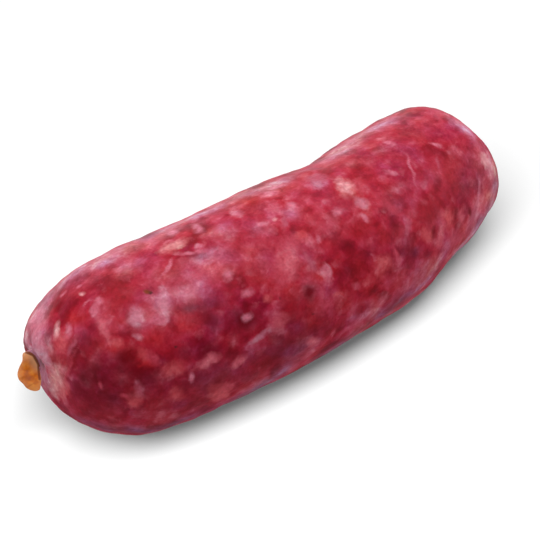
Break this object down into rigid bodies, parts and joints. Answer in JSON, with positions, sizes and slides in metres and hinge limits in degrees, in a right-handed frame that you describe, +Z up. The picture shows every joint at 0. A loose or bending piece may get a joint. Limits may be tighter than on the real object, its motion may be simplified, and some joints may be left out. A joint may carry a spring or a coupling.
{
  "type": "raw cooking sausage",
  "caption": "Thick raw cooking sausage of coarse minced meat and fat in a natural casing, slightly bent, lying on its side, with a dried casing tail at each tied end.",
  "frame": {"origin": "on the ground, below the middle of the whole object's box", "axes": "+X along the sausage from the front tail to the back end, +Z up, the middle of the bend points to -Y"},
  "size_m": [0.1798, 0.0634, 0.0572],
  "materials": {
    "filled_casing": "moist translucent skin over marbled red meat and pale fat, satin gloss",
    "dried_casing": "dry folded gut, amber to tan, slightly translucent, satin"
  },
  "bodies": {
    "root": {"sausage_body": "filled_casing", "casing_tail_front": "dried_casing", "casing_tail_back": "dried_casing"}
  },
  "joints": []
}
